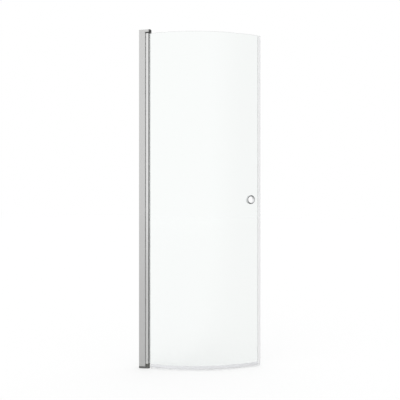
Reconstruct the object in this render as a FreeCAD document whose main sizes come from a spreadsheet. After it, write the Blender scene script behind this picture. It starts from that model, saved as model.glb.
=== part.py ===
import FreeCAD, Part
import math
import os
import re
import Sketcher

# Curved pivot shower door, 2 m high, for one side of a 90 cm corner enclosure.
#
# Millimetres. The origin is on the wall, at the foot of the wall channel. X points away from the
# wall, -Y is the dry side where the user stands, +Y is inside the shower and Z is up.
# The glass follows an arc in plan. Pieces on the hinge line are drawn about the hinge axis, pieces
# that follow the glass are drawn about the centre of its arc, and turned by equal angles.

SIZES = {
    # wall side
    "door_height": 2000,
    "profile_width": 33,
    "profile_wall": 1.8,
    "profile_reach": 38,
    "web_place": 28.4,
    "wall_gap": 0.3,
    "channel_wall": 1.8,
    "channel_back": 2,
    "channel_reach": 24,
    "channel_slack": 0.35,
    "channel_end_gap": 1,
    "wall_screw_hole": 5.5,
    "wall_screw_edge": 100,
    "wall_screw_middle": 600,
    "adjust_travel": 12,
    "clamp_screw_size": 4,
    "clamp_screw_place": 19,
    "clamp_screw_edge": 250,
    "clamp_head": 8,
    "clamp_head_thick": 2.4,
    "clamp_cross_width": 1.3,
    "clamp_cross_length": 5,
    "clamp_cross_depth": 1.2,
    "clamp_nut_height": 12,
    "clamp_nut_width": 8,
    "clamp_nut_thick": 3.2,
    "clamp_cap_size": 12,
    "clamp_cap_thick": 3.6,
    # hinge line
    "axis_place": 49,
    "nose_gap": 2,
    "arm_thick": 17,
    "arm_past_axis": 11,
    "arm_roof": 3,
    "arm_boss": 12,
    "arm_nose_plate": 2.5,
    "arm_nose_tail": 35,
    "arm_nose_round": 9.5,
    "edge_round": 0.8,
    "bracket_thick": 12,
    "bracket_floor": 4,
    "bracket_nose": 26,
    "bracket_screw_size": 3.9,
    "bracket_screw_head": 7,
    "bracket_screw_bite": 26,
    "bracket_screw_place": 31.5,
    "bracket_screw_spread": 23,
    "bracket_screw_key": 2.5,
    "bracket_screw_key_depth": 1.3,
    "screw_recess": 0.2,
    "screw_tip_gap": 2,
    "pin_size": 8,
    "pin_flats": 6,
    "pin_head": 14,
    "pin_head_thick": 1.5,
    "pin_grip": 28,
    "pin_bevel": 0.8,
    "flats_end_gap": 0.5,
    "running_gap": 0.05,
    "end_gap": 0.1,
    "bush_size": 13,
    "bush_flange": 17,
    "bush_flange_thick": 1.5,
    "bush_length": 11,
    "plug_thick": 2.5,
    "plug_round": 0.4,
    "cam_size": 26,
    "cam_flange": 6.6,
    "cam_rise": 4,
    "cam_spigot": 18,
    "cam_key": 7.4,
    "follower_flange": 1.65,
    "open_angle": 100,
    # column
    "column_size": 30,
    "column_wall": 2,
    "lift_gap": 1,
    "slot_width": 9.2,
    "slot_floor": 6.5,
    "slot_wall": 1.3,
    "insert_length": 40,
    "insert_slack": 0.1,
    "column_screw_size": 4,
    "column_screw_depth": 8.5,
    "column_screw_key": 2,
    "column_screw_key_depth": 2,
    # glass
    "glass_radius": 760,
    "glass_thick": 6,
    "start_angle": 7.75,
    "end_angle": 44.8,
    "glass_inset": 8,
    "glass_bottom": 12,
    "glass_top_gap": 21,
    "notch_reach": 26,
    "foot_notch_reach": 20,
    "notch_clear": 1.5,
    "gasket_slack": 0.2,
    "gasket_play": 0.1,
    "gasket_lip": 0.6,
    # foot seal
    "seal_wall": 1.4,
    "seal_slack": 0.15,
    "seal_height": 12.5,
    "seal_base": 3.2,
    "seal_start": 21,
    "seal_drop": 1,
    "seal_rail_reach": 8,
    "seal_rail_drop": 6,
    "lip_thick": 1.6,
    "lip_bead": 3.4,
    "lip_bead_thick": 1.3,
    "lip_roof": 0.9,
    "lip_play": 0.1,
    "seal_cap_length": 3,
    # free edge
    "strip_reach": 7,
    "strip_lap": 12,
    "strip_wall": 1.2,
    "strip_bottom": 1,
    "magnet_slack": 0.15,
    "strip_plug_length": 6,
    "strip_seal_gap": 0.5,
    # grip
    "grip_height": 996,
    "grip_from_edge": 69,
    "grip_size": 53,
    "grip_hole": 39,
    "grip_thick": 5,
    "grip_round": 1.6,
    "grip_sleeve_wall": 2,
    "grip_sleeve_round": 1,
    "grip_glass_hole": 46,
    "grip_pad": 1.2,
    "grip_pad_size": 51,
    # gap seal
    "gap_seal_depth": 0.8,
    "gap_seal_mouth": 2.4,
    "gap_seal_root": 4.4,
    "gap_seal_root_thick": 1.5,
    "gap_seal_play": 0.1,
    "gap_seal_touch": 0.3,
}

# Lengths that follow from the driving sizes, written as expressions over their names.
PROFILE_HALF = "(profile_width / 2)"
CAVITY_HALF = "(profile_width / 2 - profile_wall)"
CHANNEL_HALF = f"({CAVITY_HALF} - channel_slack)"
COLUMN_RADIUS = "(column_size / 2)"
BORE_RADIUS = "(column_size / 2 - column_wall)"
NOSE_RADIUS = f"({COLUMN_RADIUS} + nose_gap)"
PIN_RADIUS = "(pin_size / 2)"
PIN_BORE = "(pin_size / 2 + running_gap)"
ARM_FOOT = "(door_height - arm_thick)"
ARM_END = "(axis_place + arm_past_axis)"
CHANNEL_TOP = "(door_height - arm_roof - channel_end_gap)"
COLUMN_TOP = f"({ARM_FOOT} - cam_rise - lift_gap)"
GLASS_TOP = "(door_height - glass_top_gap)"
CAM_LOBES = 2
LOBE_RISE = f"(cam_rise / open_angle * 360 / {CAM_LOBES})"
CAM_VALLEY = "(bracket_thick + cam_flange)"
CAM_PEAK = f"({CAM_VALLEY} + {LOBE_RISE})"
COLUMN_FOOT = f"({CAM_PEAK} + running_gap + follower_flange)"
NOTCH_FOOT = f"({COLUMN_FOOT} + notch_clear)"
NOTCH_HEAD = f"({COLUMN_TOP} - notch_clear)"
SLOT_HALF = "(slot_width / 2)"
BLOCK_HALF = "(slot_width / 2 + slot_wall)"
BLOCK_FLOOR = "(slot_floor - slot_wall)"
GLASS_HALF = "(glass_thick / 2)"
SPAN_ANGLE = "(start_angle + end_angle)"
DEGREES_PER_MM = "(180 / pi / glass_radius)"
GLASS_END_ANGLE = f"(end_angle - strip_reach * {DEGREES_PER_MM})"
CLIP_INNER = f"({GLASS_HALF} + seal_slack)"
CLIP_OUTER = f"({CLIP_INNER} + seal_wall)"
CLIP_FLOOR = "(glass_bottom - seal_slack)"
CLIP_FOOT = f"({CLIP_FLOOR} - seal_base)"
CLIP_TOP = "(glass_bottom + seal_height)"
SEAL_START = "(seal_start + seal_cap_length)"
STRIP_HALF = f"({GLASS_HALF} + seal_slack + strip_wall)"
SCREW_RADIUS = "(bracket_screw_size / 2)"
GRIP_ANGLE = f"(end_angle - grip_from_edge * {DEGREES_PER_MM})"
THROUGH_ALL = "(2 * door_height)"
OVERCUT = 1

doc = FreeCAD.newDocument("pivot_shower_door")
sheet = doc.addObject("Spreadsheet::Sheet", "Dims")
for row, (name, size) in enumerate(SIZES.items(), 1):
    sheet.set(f"A{row}", name)
    sheet.set(f"B{row}", str(size))
    sheet.setAlias(f"B{row}", name)
doc.recompute()


def bound(text):
    """The expression with every driving size read from the sheet."""
    return re.sub(r"[a-z]\w*", lambda word: f"Dims.{word[0]}" if word[0] in SIZES else word[0], str(text))


def value(text):
    """The expression's value at the present sizes."""
    return float(sheet.evalExpression(bound(text)))


def sine(angle):
    return f"sin(({angle}) * 1deg)"


def cosine(angle):
    return f"cos(({angle}) * 1deg)"


def place_at(x="0", y="0", z="0", turn="0", tilt="0"):
    """A placement: tipped back about X by tilt degrees, turned about Z by turn degrees, moved."""
    spot = f"vector({x}; {y}; {z})"
    return f"placement({spot}; rotation({turn} * 1deg; 0deg; {tilt} * 1deg))"


# The frames that pieces are drawn in.
AT_ORIGIN = place_at()
ON_AXIS = place_at("axis_place")
ON_COLUMN = place_at("axis_place", turn="-start_angle")
ARC_X = f"(axis_place + glass_radius * {sine('start_angle')})"
ARC_Y = f"(glass_radius * {cosine('start_angle')})"


def on_glass(angle, height="0", tilt="0"):
    """A frame on the glass's middle surface where the arc's tangent points at this angle."""
    across = f"({ARC_X} + glass_radius * {sine(angle)})"
    along = f"({ARC_Y} - glass_radius * {cosine(angle)})"
    return place_at(across, along, height, turn=angle, tilt=tilt)


def new_body(label, place=AT_ORIGIN):
    body = doc.addObject("PartDesign::Body", label)
    body.Label = label
    body.setExpression("Placement", bound(place))
    return body


def new_sketch(body, name, plane="XY_Plane", offset="0", turn="0"):
    """A sketch on one of the body's own planes, moved along the plane's normal by offset, and where
    the plane is upright turned about Z by turn degrees."""
    sketch = body.newObject("Sketcher::SketchObject", f"{body.Name}_{name}")
    support = [item for item in body.Origin.OriginFeatures if item.Role == plane][0]
    sketch.AttachmentSupport = (support, [""])
    sketch.MapMode = "FlatFace"
    shift = f"placement(vector(0; 0; {offset}); rotation(vector(0; 1; 0); ({turn}) * 1deg))"
    sketch.setExpression("AttachmentOffset", bound(shift))
    return sketch


def dimension(sketch, kind, geometry, point, text):
    """A driving dimension, bound to the sheet, from the sketch's origin to a point."""
    rule = Sketcher.Constraint(kind, -1, 1, geometry, point, value(text))
    index = sketch.addConstraint(rule)
    sketch.setExpression(f"Constraints[{index}]", bound(text))


def draw_circle(sketch, radius, x="0", y="0"):
    centre = FreeCAD.Vector(value(x), value(y), 0)
    circle = sketch.addGeometry(Part.Circle(centre, FreeCAD.Vector(0, 0, 1), value(radius)))
    dimension(sketch, "DistanceX", circle, 3, x)
    dimension(sketch, "DistanceY", circle, 3, y)
    index = sketch.addConstraint(Sketcher.Constraint("Radius", circle, value(radius)))
    sketch.setExpression(f"Constraints[{index}]", bound(radius))


def draw_outline(sketch, corners):
    """A closed outline. A corner is (x, y), reached by a straight edge from the corner before it, or
    (x, y, centre x, centre y, turn), reached by an arc, where turn is 'left' or 'right'."""
    spots = [FreeCAD.Vector(value(corner[0]), value(corner[1]), 0) for corner in corners]
    edges = []
    for number, corner in enumerate(corners):
        start = spots[number - 1]
        end = spots[number]
        if len(corner) == 2:
            edges.append((sketch.addGeometry(Part.LineSegment(start, end)), 1, 2))
            continue
        centre = FreeCAD.Vector(value(corner[2]), value(corner[3]), 0)
        left = corner[4] == "left"
        first, last = (start, end) if left else (end, start)
        angle_from = math.atan2(first.y - centre.y, first.x - centre.x)
        angle_to = math.atan2(last.y - centre.y, last.x - centre.x)
        if angle_to <= angle_from:
            angle_to += 2 * math.pi
        circle = Part.Circle(centre, FreeCAD.Vector(0, 0, 1), centre.distanceToPoint(first))
        arc = sketch.addGeometry(Part.ArcOfCircle(circle, angle_from, angle_to))
        edges.append((arc, 1, 2) if left else (arc, 2, 1))
        dimension(sketch, "DistanceX", arc, 3, corner[2])
        dimension(sketch, "DistanceY", arc, 3, corner[3])
    for number, (edge, begin, _) in enumerate(edges):
        before, _, finish = edges[number - 1]
        sketch.addConstraint(Sketcher.Constraint("Coincident", before, finish, edge, begin))
    for number, corner in enumerate(corners):
        edge, _, finish = edges[number]
        arc_end = len(corner) == 5
        reach = spots[number] - FreeCAD.Vector(value(corner[2]), value(corner[3]), 0) if arc_end else None
        if not arc_end or abs(reach.y) >= abs(reach.x):
            dimension(sketch, "DistanceX", edge, finish, corner[0])
        if not arc_end or abs(reach.y) < abs(reach.x):
            dimension(sketch, "DistanceY", edge, finish, corner[1])


def rectangle(x_low, y_low, x_high, y_high):
    return [(x_low, y_low), (x_high, y_low), (x_high, y_high), (x_low, y_high)]


def rectangle_about(x, y, width, height):
    low = (f"{x} - {width} / 2", f"{y} - {height} / 2")
    high = (f"{x} + {width} / 2", f"{y} + {height} / 2")
    return rectangle(*low, *high)


def hexagon(radius, height="0"):
    """The corners of a hexagon socket."""
    corners = range(0, 360, 60)
    return [(f"{radius} * {cosine(turn)}", f"{height} + {radius} * {sine(turn)}") for turn in corners]


def add_pad(body, sketch, length):
    pad = body.newObject("PartDesign::Pad", f"{sketch.Name}_pad")
    pad.Profile = sketch
    pad.setExpression("Length", bound(length))
    return pad


def add_pocket(body, sketch, depth=THROUGH_ALL):
    """A pocket that cuts the same way as a pad would grow."""
    pocket = body.newObject("PartDesign::Pocket", f"{sketch.Name}_pocket")
    pocket.Profile = sketch
    pocket.Reversed = True
    pocket.setExpression("Length", bound(depth))
    return pocket


def add_turn(body, sketch, angle="360", kind="Revolution"):
    """A revolution or groove about the sketch's vertical axis."""
    turn = body.newObject(f"PartDesign::{kind}", f"{sketch.Name}_turn")
    turn.Profile = sketch
    turn.ReferenceAxis = (sketch, ["V_Axis"])
    turn.setExpression("Angle", bound(angle))
    return turn


def round_edges(body, feature, radius, wanted):
    """A fillet on the edges of a feature that a test picks out."""
    doc.recompute()
    names = [f"Edge{n}" for n, edge in enumerate(feature.Shape.Edges, 1) if wanted(edge)]
    fillet = body.newObject("PartDesign::Fillet", f"{body.Name}_fillet")
    fillet.Base = (feature, names)
    fillet.setExpression("Radius", bound(radius))
    return fillet


def lies_at_height(height):
    """A test for edges that lie flat at one height of their own body."""
    level = value(height)
    return lambda edge: abs(edge.BoundBox.ZMin - level) < 0.001 and abs(edge.BoundBox.ZMax - level) < 0.001


def top_rim(starts_before="door_height", ends_past="0"):
    """A test for edges at the door's height, by how far from the wall they start and end."""
    at_height = lies_at_height("door_height")
    before = value(starts_before)
    past = value(ends_past)
    return lambda edge: at_height(edge) and edge.BoundBox.XMin < before and edge.BoundBox.XMax > past


def make_group(label, members):
    """One node out of several equal pieces that touch nothing of each other."""
    group = doc.addObject("Part::Compound", label)
    group.Label = label
    group.Links = members
    return group


nodes = []


# ---- Wall channel: the fixed U that the wall screws hold ----

def clamp_heights():
    """The heights of the three clamp screws."""
    return ["clamp_screw_edge", "(door_height / 2)", "(door_height - clamp_screw_edge)"]


def wall_screw_heights():
    """Two pairs of wall screws, both centred on the door's height."""
    return [
        "wall_screw_edge",
        "(door_height / 2 - wall_screw_middle / 2)",
        "(door_height / 2 + wall_screw_middle / 2)",
        "(door_height - wall_screw_edge)",
    ]


def make_wall_channel():
    body = new_body("wall_channel")
    outline = new_sketch(body, "section")
    draw_outline(outline, [
        ("0", f"-{CHANNEL_HALF}"),
        ("channel_reach", f"-{CHANNEL_HALF}"),
        ("channel_reach", f"-({CHANNEL_HALF} - channel_wall)"),
        ("channel_back", f"-({CHANNEL_HALF} - channel_wall)"),
        ("channel_back", f"{CHANNEL_HALF} - channel_wall"),
        ("channel_reach", f"{CHANNEL_HALF} - channel_wall"),
        ("channel_reach", CHANNEL_HALF),
        ("0", CHANNEL_HALF),
    ])
    add_pad(body, outline, CHANNEL_TOP)
    wall_holes = new_sketch(body, "wall_holes", "YZ_Plane")
    for height in wall_screw_heights():
        draw_circle(wall_holes, "wall_screw_hole / 2", "0", height)
    add_pocket(body, wall_holes, f"channel_back + {OVERCUT}")
    clamp_holes = new_sketch(body, "clamp_holes", "XZ_Plane", f"-{CHANNEL_HALF} - {OVERCUT}")
    for height in clamp_heights():
        draw_circle(clamp_holes, "clamp_screw_size / 2 + running_gap", "clamp_screw_place", height)
    add_pocket(body, clamp_holes, f"channel_wall + 2 * {OVERCUT}")
    nodes.append(body)


def make_clamp_nut(height, number):
    """A plate nut behind the channel's inner flange."""
    face = f"({CHANNEL_HALF} - channel_wall)"
    body = new_body(f"clamp_nut_{number}")
    plate = new_sketch(body, "plate", "XZ_Plane", f"-{face}")
    draw_outline(plate, rectangle_about("clamp_screw_place", height, "clamp_nut_width", "clamp_nut_height"))
    add_pad(body, plate, "clamp_nut_thick")
    hole = new_sketch(body, "hole", "XZ_Plane", f"-{face} - {OVERCUT}")
    draw_circle(hole, "clamp_screw_size / 2 + running_gap", "clamp_screw_place", height)
    add_pocket(body, hole, f"clamp_nut_thick + 2 * {OVERCUT}")
    return body


def make_clamp_screw(height, number):
    """A pan-head screw whose head bears on the profile's inner side."""
    face = f"({PROFILE_HALF} + running_gap)"
    body = new_body(f"clamp_screw_{number}")
    head = new_sketch(body, "head", "XZ_Plane", f"-{face} - clamp_head_thick")
    draw_circle(head, "clamp_head / 2", "clamp_screw_place", height)
    add_pad(body, head, "clamp_head_thick")
    shank = new_sketch(body, "shank", "XZ_Plane", f"-{face} - clamp_head_thick")
    draw_circle(shank, "clamp_screw_size / 2", "clamp_screw_place", height)
    reach = f"({face} - {CHANNEL_HALF} + channel_wall + clamp_nut_thick)"
    add_pad(body, shank, f"clamp_head_thick + {reach}")
    slots = (
        ("drive_across", "clamp_cross_length", "clamp_cross_width"),
        ("drive_down", "clamp_cross_width", "clamp_cross_length"),
    )
    for name, wide, tall in slots:
        cross = new_sketch(body, name, "XZ_Plane", f"-{face} - clamp_head_thick - {OVERCUT}")
        draw_outline(cross, rectangle_about("clamp_screw_place", height, wide, tall))
        add_pocket(body, cross, f"clamp_cross_depth + {OVERCUT}")
    return body


def make_clamp_cap(height, number):
    """A cap that snaps over a clamp screw's head."""
    face = f"({PROFILE_HALF} + running_gap)"
    body = new_body(f"clamp_cap_{number}")
    shell = new_sketch(body, "shell", "XZ_Plane", f"-{face} - clamp_cap_thick")
    draw_circle(shell, "clamp_cap_size / 2", "clamp_screw_place", height)
    add_pad(body, shell, "clamp_cap_thick")
    hollow = new_sketch(body, "hollow", "XZ_Plane", f"-{face} - clamp_head_thick - running_gap")
    draw_circle(hollow, "clamp_head / 2 + running_gap", "clamp_screw_place", height)
    add_pocket(body, hollow, f"clamp_head_thick + running_gap + {OVERCUT}")
    return body


def make_clamp_sets():
    makers = {
        "clamp_nuts": make_clamp_nut,
        "clamp_screws": make_clamp_screw,
        "clamp_screw_caps": make_clamp_cap,
    }
    for label, maker in makers.items():
        members = [maker(height, number) for number, height in enumerate(clamp_heights(), 1)]
        nodes.append(make_group(label, members))


# ---- Adjusting profile: slides over the channel and carries the hinge line ----

def nose_corner(radius, x):
    """How far out from the middle an arc about the hinge axis is at this distance from the wall."""
    return f"sqrt({radius} * {radius} - (axis_place - {x}) * (axis_place - {x}))"


def make_adjusting_profile():
    body = new_body("adjusting_profile")
    outline = new_sketch(body, "section", offset="bracket_thick")
    tip = nose_corner(NOSE_RADIUS, "profile_reach")
    draw_outline(outline, [
        ("wall_gap", f"-{CAVITY_HALF}"),
        ("wall_gap", f"-{PROFILE_HALF}"),
        ("profile_reach", f"-{PROFILE_HALF}"),
        ("profile_reach", f"-{tip}"),
        ("profile_reach", tip, "axis_place", "0", "right"),
        ("profile_reach", PROFILE_HALF),
        ("wall_gap", PROFILE_HALF),
        ("wall_gap", CAVITY_HALF),
        ("web_place", CAVITY_HALF),
        ("web_place", f"-{CAVITY_HALF}"),
    ])
    add_pad(body, outline, f"{ARM_FOOT} - bracket_thick")
    groove = new_sketch(body, "seal_groove", offset="bracket_thick")
    draw_outline(groove, gap_seal_outline("0", "profile_reach"))
    add_pocket(body, groove)
    slots = new_sketch(body, "slots", "XZ_Plane", f"-{PROFILE_HALF} - {OVERCUT}")
    for height in clamp_heights():
        draw_slot(slots, height)
    add_pocket(body, slots, f"profile_wall + 2 * {OVERCUT}")
    depth = "(bracket_screw_bite + screw_tip_gap)"
    for name, foot in (("foot_ports", "bracket_thick"), ("head_ports", f"{ARM_FOOT} - {depth}")):
        ports = new_sketch(body, name, offset=foot)
        draw_screw_circles(ports, f"{SCREW_RADIUS} + running_gap")
        add_pocket(body, ports, depth)
    nodes.append(body)


def draw_slot(sketch, height):
    """A slot that lets the profile slide outwards past a clamp screw."""
    radius = "(clamp_screw_size / 2 + running_gap)"
    near = "(clamp_screw_place - adjust_travel)"
    draw_outline(sketch, [
        ("clamp_screw_place", f"{height} - {radius}"),
        ("clamp_screw_place", f"{height} + {radius}", "clamp_screw_place", height, "left"),
        (near, f"{height} + {radius}"),
        (near, f"{height} - {radius}", near, height, "left"),
    ])


def draw_screw_circles(sketch, radius):
    for side in ("-", ""):
        draw_circle(sketch, radius, "bracket_screw_place", f"{side}bracket_screw_spread / 2")


def gap_seal_outline(play, mouth):
    """The groove for the seal strip, or with some play the strip's own foot and neck."""
    root_floor = f"(web_place + gap_seal_depth + {play})"
    root_lip = f"(web_place + gap_seal_depth + gap_seal_root_thick - {play})"
    root_half = f"(gap_seal_root / 2 - {play})"
    neck_half = f"(gap_seal_mouth / 2 - {play})"
    return [
        (root_floor, f"-{root_half}"),
        (root_lip, f"-{root_half}"),
        (root_lip, f"-{neck_half}"),
        (mouth, f"-{neck_half}"),
        (mouth, neck_half),
        (root_lip, neck_half),
        (root_lip, root_half),
        (root_floor, root_half),
    ]


def make_gap_seal():
    body = new_body("hinge_gap_seal")
    mouth = f"(axis_place - {COLUMN_RADIUS} - gap_seal_touch)"
    outline = new_sketch(body, "section", offset="bracket_thick + end_gap")
    draw_outline(outline, gap_seal_outline("gap_seal_play", mouth))
    add_pad(body, outline, f"{ARM_FOOT} - bracket_thick - 2 * end_gap")
    nodes.append(body)


# ---- Top arm and what turns in it ----

def boss_outline(start, half, radius):
    """A block from start to the arm's end, and past it a round boss about the hinge axis."""
    corner = f"sqrt({radius} * {radius} - arm_past_axis * arm_past_axis)"
    return [
        (start, f"-{half}"),
        (ARM_END, f"-{half}"),
        (ARM_END, f"-{corner}"),
        (ARM_END, corner, "axis_place", "0", "left"),
        (ARM_END, half),
        (start, half),
    ]


def make_top_arm():
    body = new_body("top_arm")
    plan = new_sketch(body, "plan", offset=ARM_FOOT)
    draw_outline(plan, boss_outline("wall_gap", PROFILE_HALF, "arm_boss"))
    block = add_pad(body, plan, "arm_thick")
    round_edges(body, block, "edge_round", top_rim(starts_before="axis_place"))
    plate_seat = new_sketch(body, "plate_seat", offset=ARM_FOOT)
    far = f"(axis_place + arm_boss + {OVERCUT})"
    wide = f"({PROFILE_HALF} + {OVERCUT})"
    draw_outline(plate_seat, rectangle("arm_nose_tail", f"-{wide}", far, wide))
    add_pocket(body, plate_seat, "arm_nose_plate")
    hollow = new_sketch(body, "hollow", offset=ARM_FOOT)
    draw_outline(hollow, rectangle(f"wall_gap - {OVERCUT}", f"-{CAVITY_HALF}", "web_place", CAVITY_HALF))
    add_pocket(body, hollow, "arm_thick - arm_roof")
    bush_bore = new_sketch(body, "bush_bore", offset=ARM_FOOT)
    draw_circle(bush_bore, "bush_size / 2", "axis_place")
    add_pocket(body, bush_bore, "arm_thick")
    head_bore = new_sketch(body, "head_bore", offset=f"{ARM_FOOT} + bush_length")
    draw_circle(head_bore, "bush_flange / 2 + end_gap", "axis_place")
    add_pocket(body, head_bore, "arm_thick")
    add_screw_seats(body, ARM_FOOT, "arm_thick", top=True)
    nodes.append(body)


def make_arm_nose():
    """The arm's round end: it wraps the boss, and its plate is clamped between the arm and the profile."""
    body = new_body("top_arm_nose")
    plan = new_sketch(body, "plan", offset=ARM_FOOT)
    tip = f"({ARM_END} + arm_nose_round)"
    flat = f"({PROFILE_HALF} - arm_nose_round)"
    draw_outline(plan, [
        ("arm_nose_tail", f"-{PROFILE_HALF}"),
        (ARM_END, f"-{PROFILE_HALF}"),
        (tip, f"-{flat}", ARM_END, f"-{flat}", "left"),
        (tip, flat),
        (ARM_END, PROFILE_HALF, ARM_END, flat, "left"),
        ("arm_nose_tail", PROFILE_HALF),
    ])
    block = add_pad(body, plan, "arm_thick")
    round_edges(body, block, "edge_round", top_rim(ends_past="axis_place + arm_boss"))
    arm_seat = new_sketch(body, "arm_seat", offset=f"{ARM_FOOT} + arm_nose_plate")
    wide = f"({PROFILE_HALF} + {OVERCUT})"
    draw_outline(arm_seat, boss_outline(f"arm_nose_tail - {OVERCUT}", wide, "(arm_boss + running_gap)"))
    add_pocket(body, arm_seat, "arm_thick")
    bush_bore = new_sketch(body, "bush_bore", offset=ARM_FOOT)
    draw_circle(bush_bore, "bush_size / 2", "axis_place")
    add_pocket(body, bush_bore, "arm_thick")
    nodes.append(body)


def add_screw_seats(body, foot, thick, top):
    """Two countersunk holes through a bracket into the profile's screw ports."""
    holes = new_sketch(body, "screw_holes", offset=foot)
    draw_screw_circles(holes, f"{SCREW_RADIUS} + running_gap")
    add_pocket(body, holes, thick)
    for side, name in (("-", "front"), ("", "rear")):
        seat = f"{body.Name}_{name}_seat"
        cone = body.newObject("PartDesign::SubtractiveCone", seat)
        spread = f"{side}bracket_screw_spread / 2"
        wide = "(bracket_screw_head / 2 + running_gap)"
        narrow = f"({SCREW_RADIUS} + running_gap)"
        cone.setExpression("Radius1", bound(narrow if top else wide))
        cone.setExpression("Radius2", bound(wide if top else narrow))
        cone.setExpression("Height", bound(f"{wide} - {narrow}"))
        level = f"{foot} + {thick} - screw_recess - ({wide} - {narrow})" if top else "screw_recess"
        spot = f"vector(bracket_screw_place; {spread}; {level})"
        cone.setExpression("Placement", bound(f"placement({spot}; rotation(0deg; 0deg; 0deg))"))


def make_countersunk_screw(label, place, direction, thick):
    """A countersunk screw that starts just under the bracket's outer face."""
    body = new_body(label, place)
    half = new_sketch(body, "half_section", "XZ_Plane")
    head = "(bracket_screw_head / 2)"
    neck = f"({head} - {SCREW_RADIUS})"
    length = f"({thick} - screw_recess + bracket_screw_bite)"
    sign = "-" if direction == "down" else ""
    draw_outline(half, [
        ("0", "0"),
        (head, "0"),
        (SCREW_RADIUS, f"{sign}{neck}"),
        (SCREW_RADIUS, f"{sign}{length}"),
        ("0", f"{sign}{length}"),
    ])
    add_turn(body, half)
    socket = new_sketch(body, "socket", offset="0" if direction == "up" else "-bracket_screw_key_depth")
    draw_outline(socket, hexagon("(bracket_screw_key / 2)"))
    add_pocket(body, socket, "bracket_screw_key_depth")
    return body


def make_bracket_screws():
    kinds = (
        ("top_arm_screws", "door_height - screw_recess", "down", "arm_thick"),
        ("bottom_bracket_screws", "screw_recess", "up", "bracket_thick"),
    )
    for label, level, direction, thick in kinds:
        members = []
        for side, name in (("-", "front"), ("", "rear")):
            spot = place_at("bracket_screw_place", f"({side}bracket_screw_spread / 2)", level)
            members.append(make_countersunk_screw(f"{label}_{name}", spot, direction, thick))
        nodes.append(make_group(label, members))


def make_top_bush():
    body = new_body("top_pivot_bush", ON_AXIS)
    half = new_sketch(body, "half_section", "XZ_Plane")
    shoulder = f"({ARM_FOOT} + bush_length)"
    draw_outline(half, [
        (PIN_BORE, ARM_FOOT),
        ("bush_size / 2 - running_gap", ARM_FOOT),
        ("bush_size / 2 - running_gap", shoulder),
        ("bush_flange / 2", shoulder),
        ("bush_flange / 2", f"{shoulder} + bush_flange_thick"),
        (PIN_BORE, f"{shoulder} + bush_flange_thick"),
    ])
    add_turn(body, half)
    nodes.append(body)


def cut_flats(body, foot, length):
    """Two flats that key a pin to the column."""
    inner = "(pin_flats / 2)"
    outer = f"({PIN_RADIUS} + {OVERCUT})"
    for name, x_low, x_high in (("left_flat", f"-{outer}", f"-{inner}"), ("right_flat", inner, outer)):
        flat = new_sketch(body, name, offset=foot)
        draw_outline(flat, rectangle(x_low, f"-{outer}", x_high, outer))
        add_pocket(body, flat, length)


def make_top_pin():
    """Dropped in from above: its head turns on the bush, its flats drive in the column's insert."""
    body = new_body("top_pivot_pin", ON_COLUMN)
    half = new_sketch(body, "half_section", "XZ_Plane")
    seat = f"({ARM_FOOT} + bush_length + bush_flange_thick + running_gap)"
    tip = f"({COLUMN_TOP} - pin_grip)"
    draw_outline(half, [
        ("0", tip),
        (f"{PIN_RADIUS} - pin_bevel", tip),
        (PIN_RADIUS, f"{tip} + pin_bevel"),
        (PIN_RADIUS, seat),
        ("pin_head / 2", seat),
        ("pin_head / 2", f"{seat} + pin_head_thick"),
        ("0", f"{seat} + pin_head_thick"),
    ])
    add_turn(body, half)
    cut_flats(body, f"{tip} - {OVERCUT}", f"{ARM_FOOT} - flats_end_gap - {tip} + {OVERCUT}")
    nodes.append(body)


def make_arm_plug():
    """A plug that hides the top pin's head."""
    body = new_body("top_arm_plug", ON_AXIS)
    disc = new_sketch(body, "disc", offset="door_height - plug_thick")
    draw_circle(disc, "bush_flange / 2 + end_gap - running_gap")
    pad = add_pad(body, disc, "plug_thick")
    round_edges(body, pad, "plug_round", lies_at_height("door_height"))
    nodes.append(body)


# ---- Bottom bracket, pin and the rising cam ----

def make_bottom_bracket():
    body = new_body("bottom_bracket")
    plan = new_sketch(body, "plan")
    nose = "(bracket_nose / 2)"
    draw_outline(plan, [
        ("wall_gap", f"-{PROFILE_HALF}"),
        ("web_place", f"-{PROFILE_HALF}"),
        ("axis_place", f"-{nose}"),
        ("axis_place", nose, "axis_place", "0", "left"),
        ("web_place", PROFILE_HALF),
        ("wall_gap", PROFILE_HALF),
    ])
    block = add_pad(body, plan, "bracket_thick")
    hollow = new_sketch(body, "hollow")
    draw_outline(hollow, rectangle(f"wall_gap - {OVERCUT}", f"-{CAVITY_HALF}", "web_place", CAVITY_HALF))
    add_pocket(body, hollow)
    seat = new_sketch(body, "cam_seat", offset="bracket_floor")
    draw_outline(seat, cam_spigot_outline("axis_place", "running_gap"))
    add_pocket(body, seat)
    add_screw_seats(body, "0", "bracket_thick", top=False)
    nodes.append(body)


def cam_spigot_outline(x, play):
    """The cam's keyed foot: a round with one flat, towards the wall."""
    radius = f"(cam_spigot / 2 + {play})"
    flat = f"(cam_key + {play})"
    side = f"sqrt({radius} * {radius} - {flat} * {flat})"
    return [
        (f"{x} - {flat}", f"-{side}"),
        (f"{x} - {flat}", side, x, "0", "left"),
    ]


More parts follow.
